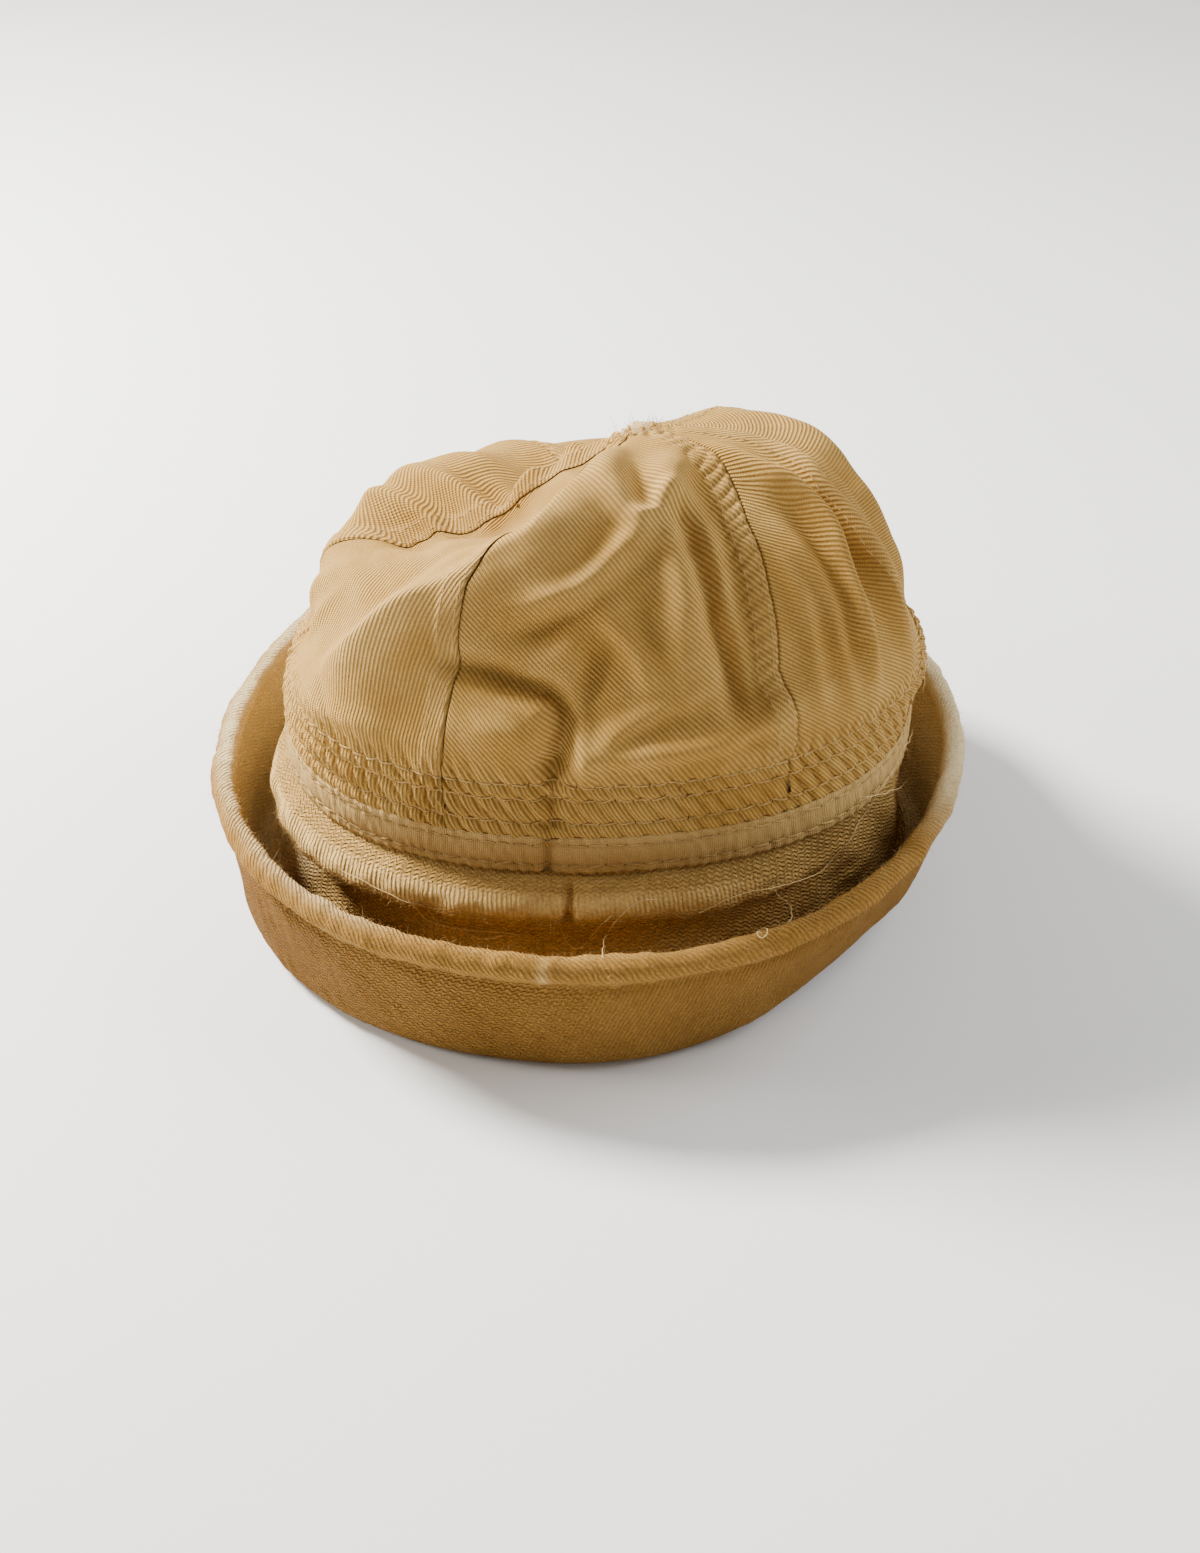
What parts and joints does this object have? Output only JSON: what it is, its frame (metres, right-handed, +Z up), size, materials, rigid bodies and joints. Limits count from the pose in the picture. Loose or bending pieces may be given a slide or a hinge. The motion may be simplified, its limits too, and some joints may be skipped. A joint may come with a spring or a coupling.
{
  "type": "sailor cap",
  "caption": "Soft cotton twill sailor cap with a slouched gored crown, a stitched binding tape and a deep turned-up brim with a rolled edge.",
  "frame": {"origin": "middle of the cap's bounding box in plan, on the plane that the fold of the brim rests on", "axes": "+Z up out of the crown, -Y towards the cap's front, +X towards the wearer's left, the side on the viewer's right when the cap's front is looked at"},
  "size_m": [0.2376, 0.2268, 0.1582],
  "materials": {
    "crown_twill": "matte cotton twill",
    "tape_cotton": "matte plain-weave cotton tape",
    "brim_cloth": "matte coarse cotton, worn at the rim"
  },
  "bodies": {
    "root": {"crown_gore_front": "crown_twill", "crown_gore_front_left": "crown_twill", "crown_gore_back_left": "crown_twill", "crown_gore_back": "crown_twill", "crown_gore_back_right": "crown_twill", "crown_gore_front_right": "crown_twill", "band_tape": "tape_cotton", "brim": "brim_cloth"}
  },
  "joints": []
}
